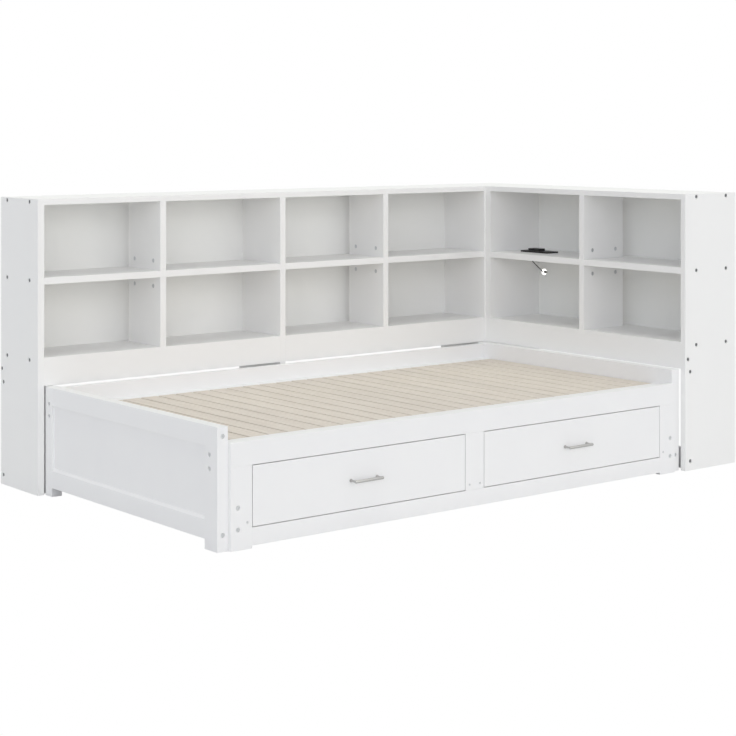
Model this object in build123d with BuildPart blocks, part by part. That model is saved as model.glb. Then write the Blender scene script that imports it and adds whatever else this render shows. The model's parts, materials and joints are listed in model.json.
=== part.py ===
from build123d import *
import os

# Twin bed with two storage drawers, set in the corner of an L of open bookcases.
# One bookcase runs along the back of the bed and the other stands at its head.
# Millimetres. The layout frame has X = 0 on the outer face of the footboard and
# grows towards the headboard, Y = 0 on the front of the end posts and grows
# towards the back bookcase, and Z = 0 on the floor. spot() moves a layout point
# into the part's own frame, whose origin is the middle of the footprint.

# Bed, outer sizes
inner_length = 1941.0      # clear length between footboard and headboard
bed_depth = 1052.0         # over the end posts
end_t = 38.0               # thickness of footboard and headboard
end_h = 370.0              # height of footboard and headboard

# Footboard and headboard
front_post_w = 68.0
back_post_w = 46.0
end_top_rail_h = 62.0
end_bottom_rail_z = 30.0
end_bottom_rail_h = 66.0
panel_recess = 9.0         # how far the outer face of the panel lies back
end_rail_bevel = 8.0       # outer top edge of the bottom rail

# Drawer front frame, which stands a little proud of the posts
frame_proud = 14.4
frame_t = 20.0
frame_top = 322.0
frame_top_rail_h = 73.0
frame_bottom_z = 8.0
frame_bottom_rail_h = 54.0
left_stile_w = 77.0
centre_stile_w = 80.5
right_stile_w = 79.5
bay_extra = 5.0            # the right drawer is this much wider than the left

# Side rails, slat ledges and slats
side_rail_t = 22.0
front_rail_y = 31.0        # front face of the inner front rail
front_rail_h = 94.0
back_rail_y = 1015.0       # inner face of the back rail
back_rail_t = 23.0
back_rail_h = 145.0
back_rail_drop = 4.0       # below the top of the end boards
slat_top = 310.0
slat_t = 12.0
slat_w = 64.0
slat_gap = 8.0             # about this much, evened out over the length
slat_margin = 2.5          # end boards to the first and last slat
slat_end_gap = 0.3
front_ledge_w = 39.5       # flat part of the ledge, in front of the slat ends
back_ledge_w = 44.0
ledge_lip = 20.0           # rebate that carries the slat ends
ledge_h = 40.0

# Middle support
beam_y = 508.0
beam_t = 22.0
beam_z = 40.0
leg_size = 38.0
leg_count = 3

# Drawer battens and telescopic slides
batten_w = 35.0
batten_z = 48.0
batten_h = 64.0
corner_batten_z = 20.0
slide_t = 12.7
slide_h = 45.0
slide_z = 88.0             # centre line of the slides
slide_length = 450.0
slide_front_y = 10.0
slide_metal = 1.2
slide_clear = 0.3

# Drawers
reveal = 2.5               # gap round each inset drawer front
drawer_front_t = 18.0
drawer_length = 460.0
drawer_side_t = 12.0
drawer_z = 68.0
drawer_h = 140.0
drawer_bottom_t = 6.0
drawer_bottom_z = 76.0
groove_depth = 5.0
groove_clear = 0.1

# Bar handles
handle_centres = 104.0
handle_length = 112.0
handle_bar_r = 5.0
handle_post_r = 3.5
handle_foot_r = 5.5
handle_foot_t = 2.0
handle_reach = 27.0        # face of the drawer to the centre of the bar

# Bookcases
case_h = 1008.0
case_top_t = 20.0
case_panel_t = 24.5
mid_shelf_z = 717.0
mid_shelf_t = 23.0
low_shelf_z = 444.0
low_shelf_t = 24.0
apron_z = 371.0
apron_t = 24.0
rear_apron_t = 16.0
back_panel_t = 3.0
divider_depth = 218.0
base_rail_t = 20.0
base_rail_z = 5.0
base_rail_h = 75.0
block_w = 48.0
block_h = 46.0

# Back bookcase
back_case_overhang = 29.0  # beyond the footboard
back_case_gap = 0.4        # between the bed and the bookcase
back_case_depth = 271.6
back_shelf_depth = 247.6
corner_panel_lap = 2.0     # the corner panel starts this far before the headboard ends
case_bay_extra = 18.0      # the second bay is this much wider than the first
first_divider_shift = 19.5     # off the middle of its bay
second_divider_shift = 17.5
base_rail_inset = 30.0     # rear face of the case to the front face of its base rail

# Side bookcase
side_case_gap = 4.3        # between the headboard and the bookcase
side_case_depth = 277.7
side_case_y = -27.8
side_front_panel_t = 22.4
side_far_panel_t = 30.9
side_divider_shift = 7.8   # off the middle of the bay
side_base_rail_x = 16.7    # behind the front plane of the case
side_cleat_l = 10.0

# Fasteners
bolt_r = 3.0
bolt_head_r = 5.6
bolt_head_t = 4.0
bolt_sink = 1.5
bolt_socket_r = 2.5
bolt_socket_depth = 2.5
bore_clear = 0.1
head_bore_clear = 1.6
bolt_bite = 40.0           # into the piece that it draws up
stile_bolt_bite = 22.0
cleat_bolt_bite = 8.0
rail_bolt_spacing = 42.0   # between the two bolts of a side rail
low_post_bolt_z = 20.0     # above the underside of the bottom end rail
high_post_bolt_z = 34.0    # above the underside of the top end rail
head_post_bolt_z = 29.0    # headboard, above the underside of its bottom end rail
stile_bolt_x = 25.5        # in from the ends of the drawer front frame
stile_bolt_step = 65.0
case_bolt_in = [60.0, 224.0]   # behind the front of a bookcase
apron_bolt_z = 35.0        # above the underside of the aprons
apron_bolt_x = 14.7        # behind the front of the side bookcase
block_bolt_drop = 11.0     # below the underside of the aprons
base_bolt_z = 29.0         # above the underside of the base rails
screw_r = 2.0
screw_head_r = 3.4
screw_head_t = 2.5
cam_r = 7.5
cam_depth = 11.0
cam_clear = 0.15
cam_slot_w = 1.6
cam_slot_depth = 2.0
cam_offset = 34.0          # above and below the middle shelf
cam_in = [48.0, 176.0]     # behind the front of a bookcase

# Charging station
charger_length = 158.0
charger_width = 68.0
charger_t = 6.0
charger_corner_r = 8.0
charger_x_in = 136.7       # front plane of the case to the middle of the plate
charger_y_in = 146.0       # far end panel to the middle of the plate
socket_length = 29.0
socket_width = 40.0
socket_h = 9.0
socket_gap = 3.0
socket_shift = 16.0        # sockets' middle to the far side of the plate's middle
pin_slot_w = 2.0
pin_slot_l = 7.0
pin_slot_pitch = 9.0
slot_depth = 5.0
usb_w = 12.0
usb_h = 3.6

# Reading lamp under the middle shelf
lamp_x_in = 124.7          # front plane of the case to the neck
lamp_y_in = 109.5          # far end panel to the swivel
lamp_base_r = 13.0
lamp_base_t = 4.0
lamp_pin_r = 2.0
lamp_pin_l = 6.0
lamp_fit = 0.05
lamp_gap = 0.3
knuckle_r = 5.0
knuckle_h = 9.0
neck_r = 2.0
neck_run = 72.0            # level distance from the swivel to the head
neck_drop = 47.0           # fall over that distance
neck_bend_r = 8.0
neck_tail = 12.7
hub_r = 3.5
hub_w = 6.0
hub_pin_r = 1.5
cap_r = 5.5
cap_l = 8.5
cap_back = 4.0             # pivot to the back of the cap, clear of the neck
lens_r = 12.0
lens_t = 6.5

# Rounded edges
board_edge = 0.8
case_edge = 0.4
slat_edge = 1.5
metal_edge = 1.2

# Places worked out from the sizes
bed_length = inner_length + 2 * end_t
head_x = end_t + inner_length
frame_y = -frame_proud
frame_back_y = frame_y + frame_t
bays_length = inner_length - left_stile_w - centre_stile_w - right_stile_w
left_bay_x = end_t + left_stile_w
centre_stile_x = left_bay_x + (bays_length - bay_extra) / 2
right_bay_x = centre_stile_x + centre_stile_w
right_stile_x = head_x - right_stile_w
bay_low = frame_bottom_z + frame_bottom_rail_h
bay_high = frame_top - frame_top_rail_h
slat_under = slat_top - slat_t
back_rail_top = end_h - back_rail_drop
front_slat_y = front_rail_y + side_rail_t + front_ledge_w
back_slat_y = back_rail_y - back_ledge_w
case_y = bed_depth + back_case_gap
case_back_y = case_y + back_case_depth
side_x = bed_length + side_case_gap
side_back_x = side_x + side_case_depth
back_case_x = -back_case_overhang
back_case_inner_x = back_case_x + case_panel_t
back_case_last_x = side_back_x - case_panel_t
corner_panel_x = bed_length - corner_panel_lap
case_bays_length = corner_panel_x - back_case_inner_x - case_panel_t
centre_panel_x = back_case_inner_x + (case_bays_length - case_bay_extra) / 2
far_panel_y = case_y - side_far_panel_t
side_inner_y = side_case_y + side_front_panel_t
case_top_z = case_h - case_top_t
mid_shelf_top = mid_shelf_z + mid_shelf_t
low_shelf_top = low_shelf_z + low_shelf_t
handle_front_y = frame_y - handle_reach - handle_bar_r
origin_x = (back_case_x + side_back_x) / 2
origin_y = (handle_front_y + case_back_y) / 2

# Bays of the back bookcase, from the footboard end to the corner
case_bays = [
    (back_case_inner_x, centre_panel_x),
    (centre_panel_x + case_panel_t, corner_panel_x),
    (corner_panel_x + case_panel_t, back_case_last_x),
]
shelf_bays = case_bays[:2]
divider_shifts = [first_divider_shift, second_divider_shift]
divider_xs = [
    (x0 + x1 - case_panel_t) / 2 - shift for (x0, x1), shift in zip(shelf_bays, divider_shifts)
]
side_divider_y = (side_inner_y + far_panel_y - case_panel_t) / 2 - side_divider_shift

os.makedirs("parts", exist_ok=True)


def spot(x, y, z):
    """A layout point in the part's own frame."""
    return (x - origin_x, y - origin_y, z)


def block(x, y, z):
    """Add one square-edged board between the limits x, y and z."""
    with BuildSketch(Plane(origin=spot(x[0], y[0], z[0]))) as profile:
        Rectangle(x[1] - x[0], y[1] - y[0], align=(Align.MIN, Align.MIN))
    extrude(profile.sketch, amount=z[1] - z[0])


def rod(start, direction, radius, length, mode=Mode.ADD):
    """Add or cut a round rod that grows from a layout point along a direction."""
    with BuildSketch(Plane(origin=spot(*start), z_dir=direction)) as profile:
        Circle(radius)
    extrude(profile.sketch, amount=length, mode=mode)


def save(name, builder):
    """Label a finished piece and write it."""
    builder.part.label = name
    export_step(builder.part, f"parts/{name}.step")


# Bolt places: each is a plane on the face that shows the head, looking outwards
def bolt_planes(points, outward):
    return [Plane(origin=spot(*point), z_dir=outward) for point in points]


front_rail_top = slat_top
front_rail_z = front_rail_top - front_rail_h
back_rail_z = back_rail_top - back_rail_h
side_bolt_y = front_rail_y + side_rail_t / 2
back_bolt_y = back_rail_y + back_rail_t / 2
half_step = rail_bolt_spacing / 2
front_pair = [front_rail_z + front_rail_h / 2 + step for step in (-half_step, half_step)]
back_pair = [back_rail_z + back_rail_h / 2 + step for step in (-half_step, half_step)]
rail_bolt_yz = [(side_bolt_y, z) for z in front_pair] + [(back_bolt_y, z) for z in back_pair]
foot_bolts = bolt_planes([(0, y, z) for y, z in rail_bolt_yz], (-1, 0, 0))
head_bolts = bolt_planes([(bed_length, y, z) for y, z in rail_bolt_yz], (1, 0, 0))

post_bolt_zs = [end_bottom_rail_z + low_post_bolt_z, end_h - end_top_rail_h + high_post_bolt_z]
foot_post_bolts = bolt_planes([(end_t / 2, 0, z) for z in post_bolt_zs], (0, -1, 0))
head_post_bolts = bolt_planes(
    [(head_x + end_t / 2, 0, end_bottom_rail_z + head_post_bolt_z)], (0, -1, 0)
)

stile_bolt_zs = [bay_low, bay_low + stile_bolt_step]
stile_bolts = bolt_planes(
    [
        (x, frame_y, z)
        for x in (end_t + stile_bolt_x, head_x - stile_bolt_x)
        for z in stile_bolt_zs
    ],
    (0, -1, 0),
)

shelf_bolt_zs = [
    case_h - case_top_t / 2,
    mid_shelf_z + mid_shelf_t / 2,
    low_shelf_z + low_shelf_t / 2,
]
rear_apron_y = case_back_y - rear_apron_t
back_base_y = case_back_y - base_rail_inset
back_case_bolt_yz = [(case_y + d, z) for d in case_bolt_in for z in shelf_bolt_zs]
back_case_bolt_yz += [
    (rear_apron_y + rear_apron_t / 2, apron_z + apron_bolt_z),
    (back_base_y + base_rail_t / 2, apron_z - block_bolt_drop),
    (back_base_y + base_rail_t / 2, base_rail_z + base_bolt_z),
]
left_case_bolts = bolt_planes([(back_case_x, y, z) for y, z in back_case_bolt_yz], (-1, 0, 0))
corner_bolt_yz = [(y, z) for y, z in back_case_bolt_yz if z not in shelf_bolt_zs[1:]]
right_case_bolts = bolt_planes([(side_back_x, y, z) for y, z in corner_bolt_yz], (1, 0, 0))

side_base_x = side_x + side_base_rail_x
side_case_bolt_xz = [(side_x + d, z) for d in case_bolt_in for z in shelf_bolt_zs]
side_case_bolt_xz += [
    (side_x + apron_bolt_x, apron_z + apron_bolt_z),
    (side_base_x + base_rail_t / 2, base_rail_z + base_bolt_z),
]
side_case_bolts = bolt_planes([(x, side_case_y, z) for x, z in side_case_bolt_xz], (0, -1, 0))
cleat_bolts = bolt_planes(
    [(side_base_x + base_rail_t / 2, side_case_y, apron_z - block_bolt_drop)], (0, -1, 0)
)

batten_xs = [
    left_bay_x - batten_w,
    centre_stile_x,
    right_bay_x - batten_w,
    right_stile_x,
]
screw_z = batten_z + batten_h / 2
runner_screw_planes = bolt_planes(
    [(x + batten_w / 2, frame_y, screw_z) for x in batten_xs], (0, -1, 0)
)


def head_bores(planes, depth):
    """Counterbore a board for bolts that pass right through it."""
    with Locations(*planes):
        CounterBoreHole(
            radius=bolt_r + bore_clear,
            counter_bore_radius=bolt_head_r + head_bore_clear,
            counter_bore_depth=bolt_sink + bolt_head_t,
            depth=depth,
        )


def end_bores(planes, through, bite):
    """Drill the end of the piece that the bolts draw up."""
    with Locations(*[plane.offset(-through) for plane in planes]):
        Hole(radius=bolt_r + bore_clear, depth=bite)


# Footboard and headboard: posts, rails and a panel, with the recess outwards
end_top_rail_z = end_h - end_top_rail_h
end_panel_z = end_bottom_rail_z + end_bottom_rail_h
back_post_y = bed_depth - back_post_w
side_front_bolts = len(front_pair)


def end_posts(x0, side_bolts, post_bolts):
    with BuildPart() as posts:
        block((x0, x0 + end_t), (0, front_post_w), (0, end_h))
        block((x0, x0 + end_t), (back_post_y, bed_depth), (0, end_h))
        fillet(posts.edges(), board_edge)
        head_bores(side_bolts, end_t)
        head_bores(post_bolts, front_post_w)
    return posts


def end_rails(x0, outer_side, post_bolts):
    """Both rails of one end. outer_side is 0 for the lower X side and -1 for the higher."""
    with BuildPart() as rails:
        block((x0, x0 + end_t), (front_post_w, back_post_y), (end_bottom_rail_z, end_panel_z))
        upper_edges = rails.faces().sort_by(Axis.Z)[-1].edges().filter_by(Axis.Y)
        chamfer(upper_edges.sort_by(Axis.X)[outer_side], end_rail_bevel)
        block((x0, x0 + end_t), (front_post_w, back_post_y), (end_top_rail_z, end_h))
        fillet(rails.edges(), board_edge)
        end_bores(post_bolts, front_post_w, bolt_bite)
    return rails


def end_panel(x0, x1):
    with BuildPart() as panel:
        block((x0, x1), (front_post_w, back_post_y), (end_panel_z, end_top_rail_z))
    return panel


save("footboard_posts", end_posts(0, foot_bolts, foot_post_bolts))
save("footboard_rails", end_rails(0, 0, foot_post_bolts))
save("footboard_panel", end_panel(panel_recess, end_t))
save("headboard_posts", end_posts(head_x, head_bolts, head_post_bolts))
save("headboard_rails", end_rails(head_x, -1, head_post_bolts))
save("headboard_panel", end_panel(head_x, bed_length - panel_recess))

# Drawer front frame
with BuildPart() as front_top_rail:
    block((end_t, head_x), (frame_y, frame_back_y), (bay_high, frame_top))
    fillet(front_top_rail.edges(), board_edge)
save("front_top_rail", front_top_rail)

with BuildPart() as front_stiles:
    block((end_t, left_bay_x), (frame_y, frame_back_y), (0, bay_high))
    block((centre_stile_x, right_bay_x), (frame_y, frame_back_y), (bay_low, bay_high))
    block((right_stile_x, head_x), (frame_y, frame_back_y), (0, bay_high))
    fillet(front_stiles.edges(), board_edge)
    head_bores(stile_bolts, frame_t)
    with Locations(*runner_screw_planes):
        CounterBoreHole(
            radius=screw_r + bore_clear,
            counter_bore_radius=screw_head_r + head_bore_clear / 2,
            counter_bore_depth=bolt_sink / 2 + screw_head_t,
            depth=frame_t,
        )
save("front_stiles", front_stiles)

with BuildPart() as front_bottom_rail:
    block((left_bay_x, right_stile_x), (frame_y, frame_back_y), (frame_bottom_z, bay_low))
    fillet(front_bottom_rail.edges(), board_edge)
save("front_bottom_rail", front_bottom_rail)

# Battens that carry the frame and the drawer slides
with BuildPart() as front_corner_battens:
    block(
        (end_t, left_bay_x - batten_w),
        (frame_back_y, front_rail_y),
        (corner_batten_z, slat_top),
    )
    block(
        (right_stile_x + batten_w, head_x),
        (frame_back_y, front_rail_y),
        (corner_batten_z, slat_top),
    )
    end_bores(stile_bolts, frame_t, stile_bolt_bite)
save("front_corner_battens", front_corner_battens)

with BuildPart() as runner_battens:
    for batten_x in batten_xs:
        block(
            (batten_x, batten_x + batten_w),
            (frame_back_y, beam_y),
            (batten_z, batten_z + batten_h),
        )
    with Locations(*[plane.offset(-frame_t) for plane in runner_screw_planes]):
        Hole(radius=screw_r + bore_clear, depth=bolt_bite)
save("runner_battens", runner_battens)

# Side rails and slat ledges
with BuildPart() as front_side_rail:
    block(
        (end_t, head_x),
        (front_rail_y, front_rail_y + side_rail_t),
        (front_rail_z, front_rail_top),
    )
    end_bores(foot_bolts[:side_front_bolts], end_t, bolt_bite)
    end_bores(head_bolts[:side_front_bolts], end_t, bolt_bite)
save("front_side_rail", front_side_rail)

with BuildPart() as back_side_rail:
    block(
        (end_t, head_x),
        (back_rail_y, back_rail_y + back_rail_t),
        (back_rail_z, back_rail_top),
    )
    fillet(back_side_rail.edges(), board_edge)
    end_bores(foot_bolts[side_front_bolts:], end_t, bolt_bite)
    end_bores(head_bolts[side_front_bolts:], end_t, bolt_bite)
save("back_side_rail", back_side_rail)


def ledge(wall_y, edge_y):
    """One rebated ledge: flat from the rail to the slat ends, then a lip under them."""
    lip_y = edge_y + (ledge_lip if edge_y > wall_y else -ledge_lip)
    wall_plane = Plane(origin=spot(end_t, 0, 0), x_dir=(0, 1, 0), z_dir=(1, 0, 0))
    with BuildSketch(wall_plane) as profile:
        with BuildLine():
            Polyline(
                (wall_y, slat_top - ledge_h),
                (wall_y, slat_top),
                (edge_y, slat_top),
                (edge_y, slat_under),
                (lip_y, slat_under),
                (lip_y, slat_top - ledge_h),
                close=True,
            )
        make_face()
    extrude(profile.sketch, amount=inner_length)


with BuildPart() as slat_ledges:
    ledge(front_rail_y + side_rail_t, front_slat_y)
    ledge(back_rail_y, back_slat_y)
save("slat_ledges", slat_ledges)

# Slats, evenly spaced from end to end
slats_length = inner_length - 2 * slat_margin
slat_count = round((slats_length + slat_gap) / (slat_w + slat_gap))
slat_pitch = (slats_length - slat_w) / (slat_count - 1)
first_slat_x = end_t + slat_margin
with BuildPart() as bed_slats:
    for i in range(slat_count):
        slat_x = first_slat_x + i * slat_pitch
        block(
            (slat_x, slat_x + slat_w),
            (front_slat_y + slat_end_gap, back_slat_y - slat_end_gap),
            (slat_under, slat_top),
        )
    fillet(bed_slats.edges().filter_by(Axis.Y), slat_edge)
save("bed_slats", bed_slats)

# Middle beam on its legs
with BuildPart() as centre_beam:
    block((end_t, head_x), (beam_y, beam_y + beam_t), (beam_z, slat_under))
save("centre_beam", centre_beam)

leg_pitch = inner_length / (leg_count + 1)
with BuildPart() as centre_legs:
    for i in range(leg_count):
        leg_x = end_t + (i + 1) * leg_pitch - leg_size / 2
        block(
            (leg_x, leg_x + leg_size),
            (beam_y + beam_t, beam_y + beam_t + leg_size),
            (0, slat_under),
        )
save("centre_legs", centre_legs)


# Telescopic slides: three nested channels in the space beside each drawer.
# A channel stands on a wall at x and reaches towards the drawer when toward is 1.
def channel(x, toward, depth, height):
    low = slide_z - height / 2
    far = x + toward * depth
    web = sorted((x, x + toward * slide_metal))
    flange = sorted((x, far))
    y_span = (slide_front_y, slide_front_y + slide_length)
    block(web, y_span, (low, low + height))
    block(flange, y_span, (low, low + slide_metal))
    block(flange, y_span, (low + height - slide_metal, low + height))


nest_step = slide_metal + slide_clear
middle_h = slide_h - 2 * nest_step
inner_h = middle_h - 2 * nest_step
outer_depth = slide_t - slide_metal - slide_clear
middle_depth = outer_depth - nest_step
inner_depth = slide_t - 2 * nest_step
bays = {"left": (left_bay_x, centre_stile_x), "right": (right_bay_x, right_stile_x)}

with BuildPart() as slide_outer_members:
    for bay_x0, bay_x1 in bays.values():
        channel(bay_x0, 1, outer_depth, slide_h)
        channel(bay_x1, -1, outer_depth, slide_h)
save("slide_outer_members", slide_outer_members)


def make_drawer(side, bay_x0, bay_x1):
    """Build one drawer with its moving slide members, bar handle and box."""
    out_x0 = bay_x0 + slide_t
    out_x1 = bay_x1 - slide_t
    in_x0 = out_x0 + drawer_side_t
    in_x1 = out_x1 - drawer_side_t
    box_y0 = frame_y + drawer_front_t
    box_y1 = box_y0 + drawer_length
    box_top = drawer_z + drawer_h
    bottom_top = drawer_bottom_z + drawer_bottom_t

    with BuildPart() as middle:
        channel(bay_x0 + nest_step, 1, middle_depth, middle_h)
        channel(bay_x1 - nest_step, -1, middle_depth, middle_h)
    save(f"{side}_slide_middle_members", middle)

    with BuildPart() as inner:
        channel(out_x0, -1, inner_depth, inner_h)
        channel(out_x1, 1, inner_depth, inner_h)
    save(f"{side}_slide_inner_members", inner)

    with BuildPart() as front:
        block(
            (bay_x0 + reveal, bay_x1 - reveal),
            (frame_y, box_y0),
            (bay_low + reveal, bay_high - reveal),
        )
        fillet(front.edges(), board_edge)
    save(f"{side}_drawer_front", front)

    with BuildPart() as sides:
        block((out_x0, in_x0), (box_y0, box_y1), (drawer_z, box_top))
        block((in_x1, out_x1), (box_y0, box_y1), (drawer_z, box_top))
        for groove_x in (in_x0 - groove_depth, in_x1):
            with BuildSketch(Plane(origin=spot(groove_x, box_y0, drawer_bottom_z - groove_clear))):
                Rectangle(groove_depth, drawer_length, align=(Align.MIN, Align.MIN))
            extrude(amount=drawer_bottom_t + 2 * groove_clear, mode=Mode.SUBTRACT)
    save(f"{side}_drawer_sides", sides)

    with BuildPart() as bottom:
        block(
            (in_x0 - groove_depth + groove_clear, in_x1 + groove_depth - groove_clear),
            (box_y0, box_y1),
            (drawer_bottom_z, bottom_top),
        )
    save(f"{side}_drawer_bottom", bottom)

    with BuildPart() as back:
        block((in_x0, in_x1), (box_y1 - drawer_side_t, box_y1), (bottom_top, box_top))
    save(f"{side}_drawer_back", back)

    middle_x = (bay_x0 + bay_x1) / 2
    handle_z = (bay_low + bay_high) / 2
    bar_y = frame_y - handle_reach
    with BuildPart() as handle:
        rod((middle_x - handle_length / 2, bar_y, handle_z), (1, 0, 0), handle_bar_r, handle_length)
        fillet(handle.edges().filter_by(GeomType.CIRCLE), metal_edge)
        for post_x in (middle_x - handle_centres / 2, middle_x + handle_centres / 2):
            rod((post_x, frame_y, handle_z), (0, -1, 0), handle_post_r, handle_reach)
            rod((post_x, frame_y, handle_z), (0, -1, 0), handle_foot_r, handle_foot_t)
    save(f"{side}_drawer_handle", handle)


for side_name, (bay_start, bay_end) in bays.items():
    make_drawer(side_name, bay_start, bay_end)

# Back bookcase
shelf_back_y = case_y + back_shelf_depth
with BuildPart() as back_case_top:
    block((back_case_inner_x, back_case_last_x), (case_y, case_back_y), (case_top_z, case_h))
    fillet(back_case_top.edges(), case_edge)
    end_bores(left_case_bolts[0::3][:2], case_panel_t, bolt_bite)
    end_bores(right_case_bolts[:2], case_panel_t, bolt_bite)
save("back_case_top", back_case_top)

with BuildPart() as back_case_end_panels:
    block((back_case_x, back_case_inner_x), (case_y, case_back_y), (0, case_h))
    block((back_case_last_x, side_back_x), (case_y, case_back_y), (0, case_h))
    fillet(back_case_end_panels.edges(), case_edge)
    head_bores(left_case_bolts, case_panel_t)
    head_bores(right_case_bolts, case_panel_t)
save("back_case_end_panels", back_case_end_panels)

with BuildPart() as back_case_inner_panels:
    for panel_x in (centre_panel_x, corner_panel_x):
        block((panel_x, panel_x + case_panel_t), (case_y, case_back_y), (0, case_top_z))
    fillet(back_case_inner_panels.edges(), case_edge)
save("back_case_inner_panels", back_case_inner_panels)


def bay_boards(spans, y, z, end_bolts):
    """One board in each bay, drilled for the bolts of the end panel."""
    with BuildPart() as boards:
        for x0, x1 in spans:
            block((x0, x1), y, z)
        fillet(boards.edges(), case_edge)
        end_bores(end_bolts, case_panel_t, bolt_bite)
    return boards


shelf_y = (case_y, shelf_back_y)
mid_shelf_span = (mid_shelf_z, mid_shelf_top)
low_shelf_span = (low_shelf_z, low_shelf_top)
save(
    "back_case_mid_shelves",
    bay_boards(shelf_bays, shelf_y, mid_shelf_span, [left_case_bolts[1], left_case_bolts[4]]),
)
save(
    "back_case_bottom_shelves",
    bay_boards(shelf_bays, shelf_y, low_shelf_span, [left_case_bolts[2], left_case_bolts[5]]),
)

cubby_rows = [(low_shelf_top, mid_shelf_z), (mid_shelf_top, case_top_z)]
cam_zs = [mid_shelf_z - cam_offset, mid_shelf_top + cam_offset]
cam_planes = bolt_planes(
    [(x, case_y + d, z) for x in divider_xs for d in cam_in for z in cam_zs], (-1, 0, 0)
)
side_cam_planes = bolt_planes(
    [(side_x + d, side_divider_y, z) for d in cam_in for z in cam_zs], (0, -1, 0)
)


def cam_pockets(planes):
    with Locations(*planes):
        Hole(radius=cam_r + cam_clear, depth=cam_depth)


with BuildPart() as back_case_dividers:
    for divider_x in divider_xs:
        for row in cubby_rows:
            block(
                (divider_x, divider_x + case_panel_t),
                (case_y, case_y + divider_depth),
                row,
            )
    fillet(back_case_dividers.edges(), case_edge)
    cam_pockets(cam_planes)
save("back_case_dividers", back_case_dividers)

with BuildPart() as back_case_back_panels:
    for x0, x1 in case_bays:
        block((x0, x1), (shelf_back_y, shelf_back_y + back_panel_t), (low_shelf_z, case_top_z))
save("back_case_back_panels", back_case_back_panels)

with BuildPart() as back_case_aprons:
    for x0, x1 in shelf_bays:
        block((x0, x1), (case_y, case_y + apron_t), (apron_z, low_shelf_z))
    for x0, x1 in case_bays:
        block((x0, x1), (rear_apron_y, case_back_y), (apron_z, low_shelf_z))
    fillet(back_case_aprons.edges(), case_edge)
    end_bores([left_case_bolts[6], right_case_bolts[2]], case_panel_t, bolt_bite)
save("back_case_aprons", back_case_aprons)

# Base rails, the blocks in the end corners, and the leg board behind the first apron
back_base_span = (back_base_y, back_base_y + base_rail_t)
foot_block_x = (back_case_inner_x, back_case_inner_x + block_w)
base_rail_span = (base_rail_z, base_rail_z + base_rail_h)
block_span = (apron_z - block_h, apron_z)
with BuildPart() as back_case_base_rails:
    for x0, x1 in case_bays:
        block((x0, x1), back_base_span, base_rail_span)
    block(foot_block_x, back_base_span, block_span)
    block((back_case_last_x - block_w, back_case_last_x), back_base_span, block_span)
    block(foot_block_x, (case_y + apron_t, case_y + apron_t + base_rail_t), (0, low_shelf_z))
    fillet(back_case_base_rails.edges(), case_edge)
    end_bores(left_case_bolts[7:] + right_case_bolts[3:], case_panel_t, bolt_bite)
save("back_case_base_rails", back_case_base_rails)

# Side bookcase
side_span = (side_inner_y, far_panel_y)
side_shelf_x = (side_x, side_back_x - back_panel_t)
with BuildPart() as side_case_top:
    block((side_x, side_back_x), side_span, (case_top_z, case_h))
    fillet(side_case_top.edges(), case_edge)
    end_bores(side_case_bolts[0::3][:2], side_front_panel_t, bolt_bite)
save("side_case_top", side_case_top)

with BuildPart() as side_case_front_panel:
    block((side_x, side_back_x), (side_case_y, side_inner_y), (0, case_h))
    fillet(side_case_front_panel.edges(), case_edge)
    head_bores(side_case_bolts + cleat_bolts, side_front_panel_t)
save("side_case_front_panel", side_case_front_panel)

with BuildPart() as side_case_far_panel:
    block((side_x, side_back_x), (far_panel_y, case_y), (0, case_h))
    fillet(side_case_far_panel.edges(), case_edge)
save("side_case_far_panel", side_case_far_panel)

with BuildPart() as side_case_mid_shelf:
    block(side_shelf_x, side_span, mid_shelf_span)
    fillet(side_case_mid_shelf.edges(), case_edge)
    end_bores([side_case_bolts[1], side_case_bolts[4]], side_front_panel_t, bolt_bite)
save("side_case_mid_shelf", side_case_mid_shelf)

with BuildPart() as side_case_bottom_shelf:
    block(side_shelf_x, side_span, low_shelf_span)
    fillet(side_case_bottom_shelf.edges(), case_edge)
    end_bores([side_case_bolts[2], side_case_bolts[5]], side_front_panel_t, bolt_bite)
save("side_case_bottom_shelf", side_case_bottom_shelf)

with BuildPart() as side_case_dividers:
    for row in cubby_rows:
        block(
            (side_x, side_x + divider_depth),
            (side_divider_y, side_divider_y + case_panel_t),
            row,
        )
    fillet(side_case_dividers.edges(), case_edge)
    cam_pockets(side_cam_planes)
save("side_case_dividers", side_case_dividers)

with BuildPart() as side_case_back_panel:
    block((side_back_x - back_panel_t, side_back_x), side_span, (low_shelf_z, case_top_z))
save("side_case_back_panel", side_case_back_panel)

with BuildPart() as side_case_apron:
    block((side_x, side_x + apron_t), side_span, (apron_z, low_shelf_z))
    fillet(side_case_apron.edges(), case_edge)
    end_bores([side_case_bolts[6]], side_front_panel_t, bolt_bite)
save("side_case_apron", side_case_apron)

side_base_span = (side_base_x, side_base_x + base_rail_t)
with BuildPart() as side_case_base_rails:
    block(side_base_span, side_span, base_rail_span)
    block(side_base_span, (side_inner_y, side_inner_y + side_cleat_l), block_span)
    fillet(side_case_base_rails.edges(), case_edge)
    end_bores(side_case_bolts[7:], side_front_panel_t, bolt_bite)
    end_bores(cleat_bolts, side_front_panel_t, side_cleat_l)
save("side_case_base_rails", side_case_base_rails)


# Fasteners: round heads with a hexagon socket, sunk in their counterbores
def add_bolts(planes, through, bite):
    shank = through - bolt_sink - bolt_head_t + bite
    for plane in planes:
        seat = plane.offset(-bolt_sink - bolt_head_t)
        with BuildSketch(seat) as head:
            Circle(bolt_head_r)
        extrude(head.sketch, amount=bolt_head_t)
        with BuildSketch(seat) as shaft:
            Circle(bolt_r)
        extrude(shaft.sketch, amount=-shank)
        with BuildSketch(plane.offset(-bolt_sink)) as socket:
            RegularPolygon(bolt_socket_r, 6)
        extrude(socket.sketch, amount=-bolt_socket_depth, mode=Mode.SUBTRACT)


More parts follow.
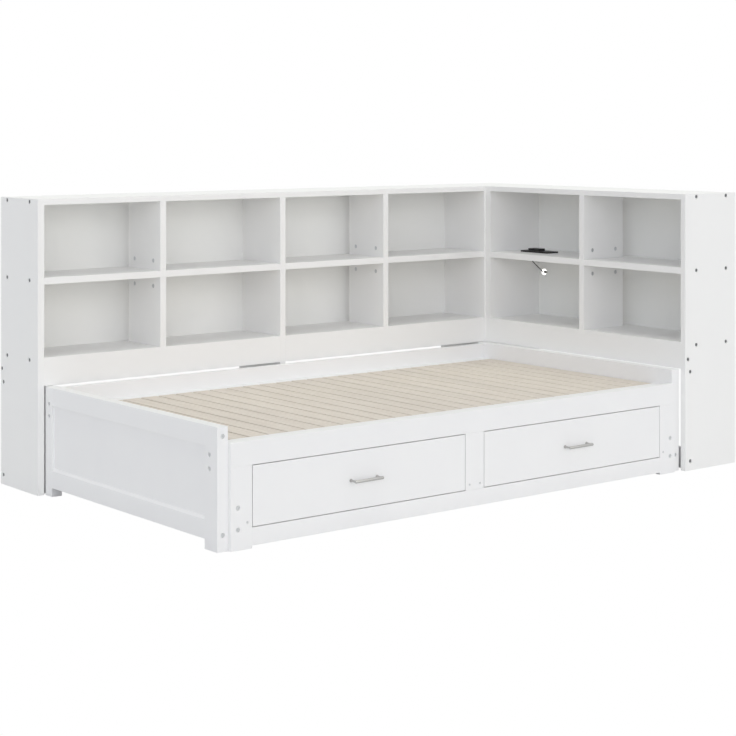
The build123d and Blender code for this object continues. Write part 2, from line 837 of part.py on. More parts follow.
with BuildPart() as bed_bolts:
    add_bolts(foot_bolts + head_bolts, end_t, bolt_bite)
    add_bolts(foot_post_bolts + head_post_bolts, front_post_w, bolt_bite)
    add_bolts(stile_bolts, frame_t, stile_bolt_bite)
save("bed_bolts", bed_bolts)

with BuildPart() as case_bolts:
    add_bolts(left_case_bolts + right_case_bolts, case_panel_t, bolt_bite)
    add_bolts(side_case_bolts, side_front_panel_t, bolt_bite)
    add_bolts(cleat_bolts, side_front_panel_t, cleat_bolt_bite)
save("case_bolts", case_bolts)

with BuildPart() as runner_screws:
    for plane in runner_screw_planes:
        seat = plane.offset(-bolt_sink / 2 - screw_head_t)
        with BuildSketch(seat):
            Circle(screw_head_r)
        extrude(amount=screw_head_t)
        with BuildSketch(seat):
            Circle(screw_r)
        extrude(amount=-(frame_t - bolt_sink / 2 - screw_head_t + bolt_bite))
save("runner_screws", runner_screws)

with BuildPart() as cam_locks:
    for plane in cam_planes + side_cam_planes:
        with BuildSketch(plane.offset(-cam_depth)):
            Circle(cam_r)
        extrude(amount=cam_depth)
        with BuildSketch(plane):
            Rectangle(2 * cam_r, cam_slot_w)
            Rectangle(cam_slot_w, 2 * cam_r)
        extrude(amount=-cam_slot_depth, mode=Mode.SUBTRACT)
save("cam_locks", cam_locks)

# Charging station on the middle shelf of the side bookcase
charger_x = side_x + charger_x_in
charger_y = far_panel_y - charger_y_in
charger_top = mid_shelf_top + charger_t
with BuildPart() as charging_plate:
    with BuildSketch(Plane(origin=spot(charger_x, charger_y, mid_shelf_top))):
        RectangleRounded(charger_width, charger_length, charger_corner_r)
    extrude(amount=charger_t)
    fillet(charging_plate.faces().sort_by(Axis.Z)[-1].edges(), metal_edge)
save("charging_plate", charging_plate)

sockets_y = charger_y + socket_shift
socket_step = (socket_length + socket_gap) / 2
socket_top = charger_top + socket_h
with BuildPart() as charging_sockets:
    for socket_y in (sockets_y - socket_step, sockets_y + socket_step):
        with BuildSketch(Plane(origin=spot(charger_x, socket_y, charger_top))):
            RectangleRounded(socket_width, socket_length, charger_corner_r / 2)
        extrude(amount=socket_h)
    fillet(charging_sockets.faces().group_by(Axis.Z)[-1].edges(), metal_edge)
    with BuildSketch(Plane(origin=spot(charger_x, sockets_y - socket_step, socket_top))):
        with GridLocations(pin_slot_pitch, 2 * pin_slot_pitch, 2, 2):
            Rectangle(pin_slot_w, pin_slot_l)
    extrude(amount=-slot_depth, mode=Mode.SUBTRACT)
    with BuildSketch(Plane(origin=spot(charger_x, sockets_y + socket_step, socket_top))):
        with GridLocations(0, pin_slot_pitch, 1, 3):
            Rectangle(usb_w, usb_h)
    extrude(amount=-slot_depth, mode=Mode.SUBTRACT)
save("charging_sockets", charging_sockets)

# Reading lamp: swivel base, bent neck, tilting head and round lens
lamp_x = side_x + lamp_x_in
lamp_y = far_panel_y - lamp_y_in
lamp_base_z = mid_shelf_z - lamp_base_t
knuckle_top = lamp_base_z - lamp_gap
with BuildPart() as lamp_base:
    rod((lamp_x, lamp_y, lamp_base_z), (0, 0, 1), lamp_base_r, lamp_base_t)
    fillet(lamp_base.faces().sort_by(Axis.Z)[0].edges(), metal_edge)
    rod((lamp_x, lamp_y, lamp_base_z), (0, 0, -1), lamp_pin_r, lamp_pin_l)
save("lamp_base", lamp_base)

neck_start_z = knuckle_top - knuckle_h / 2
head_pivot_y = lamp_y - neck_run
head_pivot_z = neck_start_z - neck_drop
neck_end_x = lamp_x + neck_tail
with BuildPart() as lamp_neck:
    with BuildLine() as neck_line:
        FilletPolyline(
            spot(lamp_x, lamp_y, neck_start_z),
            spot(lamp_x, head_pivot_y, head_pivot_z),
            spot(neck_end_x, head_pivot_y, head_pivot_z),
            radius=neck_bend_r,
        )
    with BuildSketch(Plane(origin=neck_line.line @ 0, z_dir=neck_line.line % 0)):
        Circle(neck_r)
    sweep()
    rod((lamp_x, lamp_y, knuckle_top), (0, 0, -1), knuckle_r, knuckle_h)
    rod(
        (lamp_x, lamp_y, knuckle_top),
        (0, 0, -1),
        lamp_pin_r + lamp_fit,
        lamp_pin_l,
        mode=Mode.SUBTRACT,
    )
    rod((neck_end_x, head_pivot_y, head_pivot_z), (1, 0, 0), hub_pin_r, hub_w)
save("lamp_neck", lamp_neck)

hub_x = neck_end_x + lamp_gap
with BuildPart() as lamp_head:
    rod((hub_x, head_pivot_y, head_pivot_z), (1, 0, 0), hub_r, hub_w)
    rod(
        (hub_x + hub_w / 2, head_pivot_y + cap_back, head_pivot_z),
        (0, 1, 0),
        cap_r,
        cap_l - cap_back,
    )
    rod(
        (hub_x, head_pivot_y, head_pivot_z),
        (1, 0, 0),
        hub_pin_r + lamp_fit,
        hub_w,
        mode=Mode.SUBTRACT,
    )
save("lamp_head", lamp_head)

with BuildPart() as lamp_lens:
    rod((hub_x + hub_w / 2, head_pivot_y + cap_l, head_pivot_z), (0, 1, 0), lens_r, lens_t)
    fillet(lamp_lens.edges().filter_by(GeomType.CIRCLE), 2 * metal_edge)
save("lamp_lens", lamp_lens)
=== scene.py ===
# %% [markdown]
# # A white storage bed in the corner of two bookcases
# The measured parts of the bed are loaded first, as a fixed frame of named boards. They already
# have the right sizes and places, so most of this lesson is about finish: what satin paint, bare
# slats and brushed metal do to light. The small things that the eye goes to, the handles and the
# lamp, are then modelled again in finer detail.

import json
import math

import bpy
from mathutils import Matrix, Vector


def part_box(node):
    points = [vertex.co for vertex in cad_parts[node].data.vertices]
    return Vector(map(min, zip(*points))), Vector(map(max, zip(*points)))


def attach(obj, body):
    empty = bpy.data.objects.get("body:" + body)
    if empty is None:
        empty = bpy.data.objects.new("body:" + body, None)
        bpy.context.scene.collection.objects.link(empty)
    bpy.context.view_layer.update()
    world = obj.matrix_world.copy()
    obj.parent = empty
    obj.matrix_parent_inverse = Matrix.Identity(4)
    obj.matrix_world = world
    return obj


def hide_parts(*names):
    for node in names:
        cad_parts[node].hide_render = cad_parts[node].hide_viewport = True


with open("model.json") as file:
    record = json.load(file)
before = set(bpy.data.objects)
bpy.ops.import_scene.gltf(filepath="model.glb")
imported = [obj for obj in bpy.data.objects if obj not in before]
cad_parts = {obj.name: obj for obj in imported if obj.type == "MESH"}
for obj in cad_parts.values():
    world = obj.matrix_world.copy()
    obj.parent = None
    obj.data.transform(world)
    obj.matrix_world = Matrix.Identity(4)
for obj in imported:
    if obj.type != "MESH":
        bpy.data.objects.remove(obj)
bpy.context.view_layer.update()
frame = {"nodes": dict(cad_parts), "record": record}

# %% [markdown]
# ## Camera
# The bed is seen from its front left corner, from a little above the bookcases. A product
# photographer keeps upright edges upright by holding the camera level and shifting the lens, so
# the camera here is level too, and the horizon is moved up the picture with the lens shift.

# %% Level camera with a shifted lens
IMAGE_SIZE = 736
HORIZON_ROW = 123.4
FOCAL_PIXELS = 1783.2
SENSOR_MM = 36.0
CAMERA_PLACE = (-4.058, -5.0255, 1.266)
CAMERA_TURN = math.radians(-38.508)
LEVEL = math.radians(90.0)
VIEW_END = 60.0

camera_data = bpy.data.cameras.new("corner_view")
camera_data.sensor_width = SENSOR_MM
camera_data.lens = FOCAL_PIXELS * SENSOR_MM / IMAGE_SIZE
camera_data.shift_y = (HORIZON_ROW - IMAGE_SIZE / 2) / IMAGE_SIZE
camera_data.clip_end = VIEW_END
camera = bpy.data.objects.new("corner_view", camera_data)
camera.location = CAMERA_PLACE
camera.rotation_euler = (LEVEL, 0.0, CAMERA_TURN)
bpy.context.scene.collection.objects.link(camera)
bpy.context.scene.camera = camera
print("lens:", round(camera_data.lens, 2), "mm, shift:", round(camera_data.shift_y, 4))

# %% [markdown]
# ## Colour and node helpers
# Colours are written as on a paint chart, in sRGB hex. Shaders work in linear light, so one
# function turns them by the sRGB formula. The other functions each add one node, set its values
# and join its inputs.

# %% Helpers for colour and nodes
MM = 0.001

# The sockets of Blender's colour mix node, which has others for numbers and vectors.
MIX_FACTOR = 0
MIX_FIRST = 6
MIX_SECOND = 7
MIX_RESULT = 2

COARSE_DETAIL = 2.0
FINE_DETAIL = 3.0


def linear(code, alpha=1.0):
    """A colour such as "#e9e9ea" as linear red, green, blue and alpha."""
    channels = [int(code[i : i + 2], 16) / 255 for i in (1, 3, 5)]
    turned = [c / 12.92 if c <= 0.04045 else ((c + 0.055) / 1.055) ** 2.4 for c in channels]
    return (*turned, alpha)


def per_metre(millimetres):
    """The texture scale whose features are this many millimetres across."""
    return 1.0 / (millimetres * MM)


def set_input(tree, socket, value):
    """Set an input to a plain value or a hex colour, or join it to an output socket."""
    if isinstance(value, bpy.types.NodeSocket):
        tree.links.new(value, socket)
    elif isinstance(value, str):
        socket.default_value = linear(value)
    else:
        socket.default_value = value


def add_node(tree, kind, inputs=None, **settings):
    """Add a node with its settings and its inputs."""
    node = tree.nodes.new(kind)
    for name, value in settings.items():
        setattr(node, name, value)
    for name, value in (inputs or {}).items():
        set_input(tree, node.inputs[name], value)
    return node


def new_material(name):
    """An empty node material, with the Object coordinates that its textures use."""
    material = bpy.data.materials.new(name)
    material.use_nodes = True
    tree = material.node_tree
    tree.nodes.clear()
    return material, tree, add_node(tree, "ShaderNodeTexCoord").outputs["Object"]


def finish_material(tree, surface):
    """Join the last shader to the material's output."""
    add_node(tree, "ShaderNodeOutputMaterial", {"Surface": surface})


def principled(tree, inputs):
    """Make a principled shader the material's surface."""
    finish_material(tree, add_node(tree, "ShaderNodeBsdfPrincipled", inputs).outputs["BSDF"])


def maths(tree, operation, *values):
    """One arithmetic node on values or sockets."""
    return add_node(tree, "ShaderNodeMath", dict(enumerate(values)), operation=operation).outputs[0]


def noise(tree, place, size_mm, detail=COARSE_DETAIL, stretch=(1.0, 1.0, 1.0)):
    """Soft noise whose blotches are size_mm across. A stretch below 1 draws them out."""
    drawn = add_node(tree, "ShaderNodeMapping", {"Vector": place, "Scale": stretch})
    return add_node(
        tree,
        "ShaderNodeTexNoise",
        {"Vector": drawn.outputs["Vector"], "Scale": per_metre(size_mm), "Detail": detail},
    ).outputs["Fac"]


def mix(tree, factor, first, second, blend_type="MIX"):
    """Blend two colours, each a hex code or a socket."""
    inputs = {MIX_FACTOR: factor, MIX_FIRST: first, MIX_SECOND: second}
    node = add_node(tree, "ShaderNodeMix", data_type="RGBA", blend_type=blend_type)
    for place, value in inputs.items():
        set_input(tree, node.inputs[place], value)
    return node.outputs[MIX_RESULT]


def spread(tree, value, low, high, start=0.0, end=1.0):
    """Turn a value between start and end into one between low and high."""
    return add_node(
        tree,
        "ShaderNodeMapRange",
        {"Value": value, "From Min": start, "From Max": end, "To Min": low, "To Max": high},
    ).outputs["Result"]


def uneven(tree, value, roughness, drift):
    """A roughness that drifts with a noise, by drift = (least, most) about its mean."""
    return spread(tree, value, roughness + drift[0], roughness + drift[1])


def relief(tree, height, depth_mm, strength):
    """A normal that makes a height pattern look depth_mm deep."""
    return add_node(
        tree,
        "ShaderNodeBump",
        {"Height": height, "Distance": depth_mm * MM, "Strength": strength},
    ).outputs["Normal"]


print("colour check, mid grey:", [round(channel, 3) for channel in linear("#808080")])

# %% [markdown]
# ## White satin paint
# The boards of the bed are sprayed with a white satin lacquer. It is almost neutral and has a
# soft sheen. The spray gun leaves a very shallow orange peel, and the tint drifts by about one
# part in a hundred over a hand's breadth. The true peel is under a millimetre wide and would
# vanish at this distance, so it is drawn at 5 mm. The bookcases are foiled chipboard: smoother,
# a little duller, with a fine pressed grain. Their thin backs are painted hardboard.

# %% Three white boards
TINT_DRIFT_MM = 140
BOARD_ROUGHNESS_DRIFT = (-0.03, 0.04)
BOARD_RELIEF = 0.15


def white_board(name, colour, shade, roughness, grain_mm, grain_depth_mm, stretch=(1, 1, 1)):
    """White board finish. The grain is a noise of grain_mm, drawn out by stretch."""
    material, tree, place = new_material(name)
    drift = noise(tree, place, TINT_DRIFT_MM)
    grain = noise(tree, place, grain_mm, FINE_DETAIL, stretch)
    principled(
        tree,
        {
            "Base Color": mix(tree, drift, colour, shade),
            "Roughness": uneven(tree, drift, roughness, BOARD_ROUGHNESS_DRIFT),
            "Normal": relief(tree, grain, grain_depth_mm, BOARD_RELIEF),
        },
    )
    return material


lacquer = white_board("satin_lacquer", "#f5f5f5", "#f2f2f3", 0.40, 5, 0.10)
foil = white_board("foiled_board", "#f5f5f4", "#f3f3f2", 0.46, 1.5, 0.06, (1, 1, 0.08))
hardboard = white_board("painted_hardboard", "#f4f4f2", "#f0f1ef", 0.60, 2.5, 0.12)
print("white finishes:", lacquer.name, foil.name, hardboard.name)

# %% [markdown]
# ## Bare wood
# The slats are planed softwood, left bare. Each board is cut from another tree, so each one gets
# a tint of its own from its number along the bed. Year rings show as pale and dark streaks drawn
# out along the board. The drawer boxes are sealed birch plywood, which is yellower and plainer.

# %% Planed softwood and plywood
FIBRE_MM = 0.8
FIBRE_DEPTH_MM = 0.10
FIBRE_RELIEF = 0.3
RING_DETAIL = 4.0
STREAK_RANGE = (0.12, 0.42)
BOARD_SHADES = (0.965, 1.02)
WOOD_ROUGHNESS_DRIFT = (-0.06, 0.06)
SLAT_PITCH_MM = 72
PLYWOOD_SHEET_MM = 900


def bare_wood(name, early, late, ring_mm, along, board_pitch_mm, roughness):
    """Planed wood. The rings are stretched by along, and each board_pitch_mm is a new board."""
    material, tree, place = new_material(name)
    split = add_node(tree, "ShaderNodeSeparateXYZ", {"Vector": place})
    number = maths(tree, "MULTIPLY", split.outputs["X"], per_metre(board_pitch_mm))
    whole = maths(tree, "FLOOR", number)
    board = add_node(tree, "ShaderNodeTexWhiteNoise", {"W": whole}, noise_dimensions="1D")
    rings = noise(tree, place, ring_mm, RING_DETAIL, along)
    fibre = noise(tree, place, FIBRE_MM, COARSE_DETAIL, along)
    streak = maths(tree, "MULTIPLY", rings, fibre)
    tone = mix(tree, spread(tree, streak, 0.0, 1.0, *STREAK_RANGE), late, early)
    shade = spread(tree, board.outputs["Value"], *BOARD_SHADES)
    grey = add_node(tree, "ShaderNodeCombineColor", {"Red": shade, "Green": shade, "Blue": shade})
    principled(
        tree,
        {
            "Base Color": mix(tree, 1.0, tone, grey.outputs["Color"], "MULTIPLY"),
            "Roughness": uneven(tree, rings, roughness, WOOD_ROUGHNESS_DRIFT),
            "Normal": relief(tree, fibre, FIBRE_DEPTH_MM, FIBRE_RELIEF),
        },
    )
    return material


softwood = bare_wood(
    "planed_softwood", "#e8e0d7", "#d6ccc1", 7, (1.0, 0.04, 1.0), SLAT_PITCH_MM, 0.62
)
plywood = bare_wood(
    "sealed_birch_plywood", "#e3d2b2", "#d2bb94", 9, (0.05, 1.0, 1.0), PLYWOOD_SHEET_MM, 0.50
)
print("woods:", softwood.name, plywood.name)

# %% [markdown]
# ## Metals and coats
# Zinc plating is a pale grey with a faint crystal bloom. Black oxide is thin, oily and darker. The
# bar handles are nickel plated and brushed along their length, which shows as fine long scratches
# and an uneven gloss. The paint on the lamp is a dark satin powder coat. The charging station is
# black plastic with a fine moulded grain.

# %% Plated and coated metal, moulded plastic
BLOOM_MM = 6
METAL_ROUGHNESS_DRIFT = (-0.08, 0.10)
METAL_RELIEF = 0.4
HANDLED_MM = 18
COAT_ROUGHNESS_DRIFT = (-0.06, 0.08)
COAT_RELIEF = 0.5
BRUSHED_ALONG = (0.02, 1, 1)


def metal(name, colour, worn, roughness, mark_mm, depth_mm, stretch=(1, 1, 1)):
    """Plated metal with marks of mark_mm, drawn out by stretch."""
    material, tree, place = new_material(name)
    bloom = noise(tree, place, BLOOM_MM)
    marks = noise(tree, place, mark_mm, FINE_DETAIL, stretch)
    principled(
        tree,
        {
            "Base Color": mix(tree, bloom, colour, worn),
            "Metallic": 1.0,
            "Roughness": uneven(tree, marks, roughness, METAL_ROUGHNESS_DRIFT),
            "Normal": relief(tree, marks, depth_mm, METAL_RELIEF),
        },
    )
    return material


def coated(name, colour, worn, roughness, grain_mm, depth_mm):
    """Moulded plastic or powder coat with a fine even grain."""
    material, tree, place = new_material(name)
    grain = noise(tree, place, grain_mm)
    handled = noise(tree, place, HANDLED_MM)
    principled(
        tree,
        {
            "Base Color": mix(tree, handled, colour, worn),
            "Roughness": uneven(tree, handled, roughness, COAT_ROUGHNESS_DRIFT),
            "Normal": relief(tree, grain, depth_mm, COAT_RELIEF),
        },
    )
    return material


zinc = metal("zinc_plate", "#dfe0e2", "#cfd1d4", 0.45, 1.2, 0.03)
black_oxide = metal("black_oxide", "#8f9093", "#7c7d80", 0.45, 1.0, 0.02)
nickel = metal("brushed_nickel", "#c2c1c0", "#b2b1b0", 0.32, 0.7, 0.02, BRUSHED_ALONG)
black_plastic = coated("grained_black_plastic", "#101011", "#18181a", 0.48, 0.6, 0.04)
powder_coat = coated("dark_powder_coat", "#4c4c4e", "#3f3f41", 0.42, 0.5, 0.03)
print("metals and coats:", [m.name for m in (zinc, black_oxide, nickel, black_plastic, powder_coat)])

# %% [markdown]
# ## Lit opal lens
# The lamp is on. Its lens is opal plastic: a white gloss skin over a glow that is strongest in the
# middle and falls off to the rim.

# %% Opal lens
GLOW_IN_MIDDLE = 3.2
GLOW_AT_RIM = 1.6
LENS_REACH = 12 * MM
FROST_MM = 1.5
LENS_ROUGHNESS = (0.18, 0.26)

opal, tree, place = new_material("lit_opal_lens")
middle = [(low + high) / 2 for low, high in zip(*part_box("lamp_lens"))]
from_middle = add_node(tree, "ShaderNodeVectorMath", {0: place, 1: middle}, operation="DISTANCE")
glow = spread(tree, from_middle.outputs["Value"], GLOW_IN_MIDDLE, GLOW_AT_RIM, 0.0, LENS_REACH)
frost = noise(tree, place, FROST_MM)
principled(
    tree,
    {
        "Base Color": mix(tree, frost, "#fbfbf8", "#f3f3ef"),
        "Roughness": spread(tree, frost, *LENS_ROUGHNESS),
        "Emission Color": "#fffdf6",
        "Emission Strength": glow,
    },
)
print("lens middle:", [round(value, 4) for value in middle])

# %% [markdown]
# ## Dressing the boards
# Every board keeps its measured mesh and gets its finish by what it is made of. The record names
# one white paint for bed and bookcases; the bookcases' share of it is the foiled board.

# %% Give each node its finish
finishes = {
    "white_paint": lacquer,
    "slat_wood": softwood,
    "drawer_box_wood": plywood,
    "zinc_steel": zinc,
    "black_oxide_steel": black_oxide,
    "handle_nickel": nickel,
    "black_plastic": black_plastic,
    "lamp_metal": powder_coat,
    "opal_lens": opal,
}
for entry in frame["record"]["subparts"]:
    name = entry["node"]
    finish = finishes[entry["material_slot"]]
    if name.startswith(("back_case", "side_case")):
        finish = hardboard if "back_panel" in name else foil
    board = frame["nodes"][name]
    board.data.materials.clear()
    board.data.materials.append(finish)

# %% [markdown]
# ## Modelling helpers
# A turned piece starts as a cylinder along its own axis. Its rims are rounded with a bevel, the
# parts are joined, and the finished piece keeps its place in its mesh, like the boards do.

# %% Rods and joined pieces
ROD_SIDES = 40
RIM_STEPS = 4
RIM_ANGLE = math.radians(60)
SMOOTH_ANGLE = math.radians(40)


def rod(start, end, radius, rim, sides=ROD_SIDES):
    """A round rod between two points, with rims rounded by the length rim."""
    axis = Vector(end) - Vector(start)
    bpy.ops.object.select_all(action="DESELECT")
    bpy.ops.mesh.primitive_cylinder_add(
        vertices=sides,
        radius=radius,
        depth=axis.length,
        location=(Vector(start) + Vector(end)) / 2,
        rotation=axis.to_track_quat("Z", "Y").to_euler(),
    )
    piece = bpy.context.object
    rounding = piece.modifiers.new("rims", "BEVEL")
    rounding.width = rim
    rounding.segments = RIM_STEPS
    rounding.limit_method = "ANGLE"
    rounding.angle_limit = RIM_ANGLE
    bpy.ops.object.modifier_apply(modifier=rounding.name)
    return piece


def join(name, pieces, material):
    """Join pieces into one, at the origin and with one finish."""
    bpy.ops.object.select_all(action="DESELECT")
    for piece in pieces:
        piece.select_set(True)
    bpy.context.view_layer.objects.active = pieces[0]
    bpy.ops.object.join()
    bpy.ops.object.transform_apply(location=True, rotation=True, scale=True)
    bpy.ops.object.shade_smooth_by_angle(angle=SMOOTH_ANGLE)
    whole = bpy.context.object
    whole.name = name
    whole.data.name = name
    whole.data.materials.clear()
    whole.data.materials.append(material)
    return whole


print("rods have", ROD_SIDES, "sides")

# %% [markdown]
# ## Bar handles
# Each drawer has one bar handle: a round bar with rounded ends on two thin posts, and a small foot
# where each post meets the drawer. The box of the measured handle gives the place and reach.

# %% Two bar handles
BAR_RADIUS = 5 * MM
BAR_LENGTH = 112 * MM
BAR_RIM = 1.2 * MM
POST_RADIUS = 3.5 * MM
POST_SPACING = 104 * MM
POST_RIM = 0.3 * MM
FOOT_RADIUS = 5.5 * MM
FOOT_THICKNESS = 2 * MM
FOOT_RIM = 0.5 * MM

for side in ("left", "right"):
    low, high = [Vector(corner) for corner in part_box(f"{side}_drawer_handle")]
    middle_x = (low.x + high.x) / 2
    bar_y = low.y + BAR_RADIUS
    bar_z = (low.z + high.z) / 2
    bar_left = (middle_x - BAR_LENGTH / 2, bar_y, bar_z)
    bar_right = (middle_x + BAR_LENGTH / 2, bar_y, bar_z)
    parts = [rod(bar_left, bar_right, BAR_RADIUS, BAR_RIM)]
    for post_x in (middle_x - POST_SPACING / 2, middle_x + POST_SPACING / 2):
        root = (post_x, high.y, bar_z)
        foot_face = (post_x, high.y - FOOT_THICKNESS, bar_z)
        parts.append(rod(root, (post_x, bar_y, bar_z), POST_RADIUS, POST_RIM))
        parts.append(rod(root, foot_face, FOOT_RADIUS, FOOT_RIM))
    handle = join(f"{side}_bar_handle", parts, nickel)
    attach(handle, f"{side}_drawer")
    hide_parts(f"{side}_drawer_handle")
    print(handle.name, "bar at", round(bar_y, 4), round(bar_z, 4))

# %% [markdown]
# ## Reading lamp
# The neck is a flexible metal hose: close rings over a core, from the knuckle under the shelf
# down to the head. One ring is modelled, repeated by an array and laid along a curve. The curve
# has the same straight run and short turn as the measured neck.

# %% Lamp joints
KNUCKLE_RADIUS = 5 * MM
KNUCKLE_HEIGHT = 9 * MM
KNUCKLE_RIM = 1.0 * MM
NECK_RADIUS = 2.0 * MM
BEND_RADIUS = 8 * MM
HUB_WIDTH = 6 * MM
HUB_RADIUS = 3.5 * MM
PIN_RADIUS = 1.5 * MM
PIN_RIM = 0.2 * MM
PIN_SIDES = 20
LAMP_GAP = 0.3 * MM

joints = frame["record"]["behaviour"]["joints"]
pins = {joint["name"]: Vector(joint["pos_m"]) for joint in joints if "pos_m" in joint}
swivel = pins["lamp_swivel"]
tilt = pins["lamp_tilt"]
neck_top = swivel - Vector((0, 0, KNUCKLE_HEIGHT / 2))
neck_corner = Vector((swivel.x, tilt.y, tilt.z))
neck_end = Vector((tilt.x - HUB_WIDTH / 2 - LAMP_GAP, tilt.y, tilt.z))
print("neck from", tuple(neck_top), "to", tuple(neck_end))

# %% Line of the neck
CURVE_STEPS = 24
STRAIGHT_HANDLE = 0.02
SHORT_HANDLE = 0.001
BEND_HANDLE = BEND_RADIUS * 0.55

fall = (neck_corner - neck_top).normalized()
sideways = Vector((1, 0, 0))
neck_curve = bpy.data.curves.new("neck_line", "CURVE")
neck_curve.dimensions = "3D"
neck_curve.resolution_u = CURVE_STEPS
line = neck_curve.splines.new("BEZIER")
bend_start = neck_corner - fall * BEND_RADIUS
bend_end = neck_corner + sideways * BEND_RADIUS
route = [
    (neck_top, fall * STRAIGHT_HANDLE, fall * STRAIGHT_HANDLE),
    (bend_start, fall * STRAIGHT_HANDLE, fall * BEND_HANDLE),
    (bend_end, sideways * BEND_HANDLE, sideways * SHORT_HANDLE),
    (neck_end, sideways * SHORT_HANDLE, sideways * SHORT_HANDLE),
]
line.bezier_points.add(len(route) - 1)
for point, (place_at, back, ahead) in zip(line.bezier_points, route):
    point.co = place_at
    point.handle_left = place_at - back
    point.handle_right = place_at + ahead
neck_line = bpy.data.objects.new("neck_line", neck_curve)
bpy.context.scene.collection.objects.link(neck_line)
neck_length = line.calc_length()
print("neck length:", round(neck_length, 4), "m")

# %% Rings, core and knuckle of the neck
RING_PITCH = 1.6 * MM
RING_THICKNESS = 1.2 * MM
RING_SIDES = 24
RING_EDGE_SIDES = 8
CORE_RADIUS = NECK_RADIUS - RING_THICKNESS / 2
CORE_ROUNDING = 4

ring_count = int(neck_length / RING_PITCH)
bpy.ops.object.select_all(action="DESELECT")
bpy.ops.mesh.primitive_torus_add(
    major_segments=RING_SIDES,
    minor_segments=RING_EDGE_SIDES,
    major_radius=CORE_RADIUS,
    minor_radius=RING_THICKNESS / 2,
    rotation=(0, math.radians(90), 0),
)
rings = bpy.context.object
bpy.ops.object.transform_apply(location=True, rotation=True, scale=True)
row = rings.modifiers.new("row", "ARRAY")
row.use_relative_offset = False
row.use_constant_offset = True
row.constant_offset_displace = (RING_PITCH, 0, 0)
row.count = ring_count
lay = rings.modifiers.new("lay", "CURVE")
lay.object = neck_line
bpy.ops.object.modifier_apply(modifier=row.name)
bpy.ops.object.modifier_apply(modifier=lay.name)

neck_curve.bevel_depth = CORE_RADIUS
neck_curve.bevel_resolution = CORE_ROUNDING
neck_curve.use_fill_caps = True
bpy.ops.object.select_all(action="DESELECT")
neck_line.select_set(True)
bpy.context.view_layer.objects.active = neck_line
bpy.ops.object.convert(target="MESH")
core = bpy.context.object
knuckle = rod(swivel, swivel - Vector((0, 0, KNUCKLE_HEIGHT)), KNUCKLE_RADIUS, KNUCKLE_RIM)
pin = rod(neck_end, neck_end + Vector((HUB_WIDTH, 0, 0)), PIN_RADIUS, PIN_RIM, PIN_SIDES)
neck = join("ribbed_neck", [core, rings, knuckle, pin], powder_coat)
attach(neck, "lamp_arm")
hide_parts("lamp_neck")
print(neck.name, "rings:", ring_count)

# %% [markdown]
# The head is a small hub on the neck's pin, with a cooling cap behind the lens. The cap is three
# discs on a stem, and the grooves between them are its cooling ribs.

# %% Lamp head
HUB_RIM = 0.6 * MM
CAP_RADIUS = 5.5 * MM
CAP_START = 4.0 * MM
CAP_END = 8.5 * MM
STEM_RADIUS = HUB_RADIUS * 0.9
STEM_RIM = 0.2 * MM
RIB_COUNT = 3
RIB_STEP = (CAP_END - CAP_START) / RIB_COUNT
RIB_SHARE = 0.7
RIB_RIM = 0.25 * MM

forward = Vector((0, 1, 0))
hub_side = Vector((HUB_WIDTH / 2, 0, 0))
head_parts = [
    rod(tilt - hub_side, tilt + hub_side, HUB_RADIUS, HUB_RIM),
    rod(tilt, tilt + forward * CAP_END, STEM_RADIUS, STEM_RIM),
]
for rib in range(RIB_COUNT):
    rib_start = tilt + forward * (CAP_START + rib * RIB_STEP)
    rib_end = rib_start + forward * RIB_STEP * RIB_SHARE
    head_parts.append(rod(rib_start, rib_end, CAP_RADIUS, RIB_RIM))
head = join("ribbed_lamp_head", head_parts, powder_coat)
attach(head, "lamp_light")
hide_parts("lamp_head")
print(head.name, "faces:", len(head.data.polygons))

# %% [markdown]
# ## Floor and sky
# The product stands on an endless white sweep. To the camera the floor and the sky are plain
# white, but to the bed they are a pale room: the light that they send stays at a plain level.
# Mirror-like rays meet the white sky too, so the metal shows the surroundings that the eye sees.

# %% Studio floor
WHITE = (1, 1, 1, 1)
FLOOR_SIZE = 40.0
FLOOR_DROP = 0.5 * MM

floor_material, tree, place = new_material("white_sweep")
ray = add_node(tree, "ShaderNodeLightPath")
matte = add_node(tree, "ShaderNodeBsdfDiffuse", {"Color": "#e6e6e6"})
shine = add_node(tree, "ShaderNodeEmission", {"Color": WHITE, "Strength": 1.0})
seen = add_node(
    tree,
    "ShaderNodeMixShader",
    {0: ray.outputs["Is Camera Ray"], 1: matte.outputs[0], 2: shine.outputs[0]},
)
finish_material(tree, seen.outputs[0])
bpy.ops.object.select_all(action="DESELECT")
bpy.ops.mesh.primitive_plane_add(size=FLOOR_SIZE, location=(0, 0, -FLOOR_DROP))
floor = bpy.context.object
floor.name = "studio_floor"
floor.data.materials.append(floor_material)
print("floor:", FLOOR_SIZE, "m square")

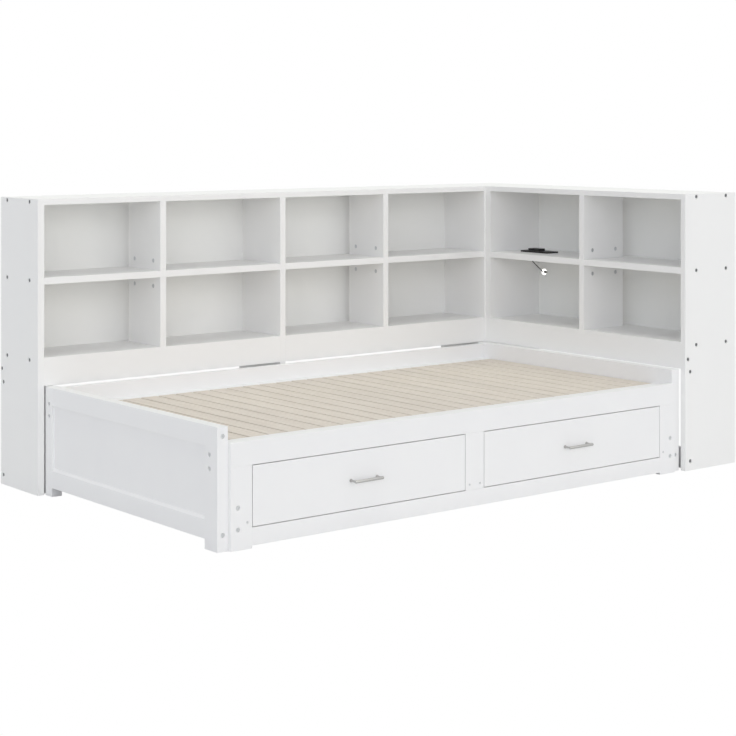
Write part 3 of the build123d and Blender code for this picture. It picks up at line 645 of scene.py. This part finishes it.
# %% Sky
ROOM_COLOUR = (0.90, 0.90, 1.0, 1.0)
ROOM_STRENGTH = 0.46

world = bpy.data.worlds.new("pale_room")
bpy.context.scene.world = world
world.use_nodes = True
sky_tree = world.node_tree
sky_tree.nodes.clear()
sky_ray = add_node(sky_tree, "ShaderNodeLightPath").outputs
mirrored = maths(sky_tree, "MAXIMUM", sky_ray["Is Camera Ray"], sky_ray["Is Glossy Ray"])
room = add_node(
    sky_tree, "ShaderNodeBackground", {"Color": ROOM_COLOUR, "Strength": ROOM_STRENGTH}
)
white = add_node(sky_tree, "ShaderNodeBackground", {"Color": WHITE, "Strength": 1.0})
sky = add_node(
    sky_tree,
    "ShaderNodeMixShader",
    {0: mirrored, 1: room.outputs[0], 2: white.outputs[0]},
)
add_node(sky_tree, "ShaderNodeOutputWorld", {"Surface": sky.outputs[0]})
print("room strength:", ROOM_STRENGTH)

# %% [markdown]
# ## Soft lamps
# Large soft lamps shape the boards. Each one is a sun with a wide disc, so its light is even over
# the whole bed and its shadows have soft edges. The strongest is overhead and slightly warm; two
# weaker ones fill the long front, and the weakest lights the left ends.

# %% Four soft suns
SUN_DISC = math.radians(50.0)


def soft_sun(name, direction, energy, colour):
    """A wide sun that shines from a direction towards the bed."""
    data = bpy.data.lights.new(name, "SUN")
    data.energy = energy
    data.color = colour
    data.angle = SUN_DISC
    lamp = bpy.data.objects.new(name, data)
    lamp.rotation_euler = Vector(direction).to_track_quat("Z", "Y").to_euler()
    bpy.context.scene.collection.objects.link(lamp)
    print(name, "from", direction, "strength", energy)


soft_sun("ceiling", (0.0, 0.0, 1.0), 1.24, (0.98, 1.0, 0.86))
soft_sun("window", (-0.90, -0.30, 0.35), 0.28, (0.92, 1.0, 0.99))
soft_sun("camera_side_fill", (-0.60, -0.78, 0.12), 0.70, (0.97, 0.96, 1.0))
soft_sun("front_fill", (0.20, -0.95, 0.08), 0.83, (1.0, 0.99, 0.92))

# %% Plain view of the colours
bpy.context.scene.view_settings.view_transform = "Standard"
print("view transform:", bpy.context.scene.view_settings.view_transform)
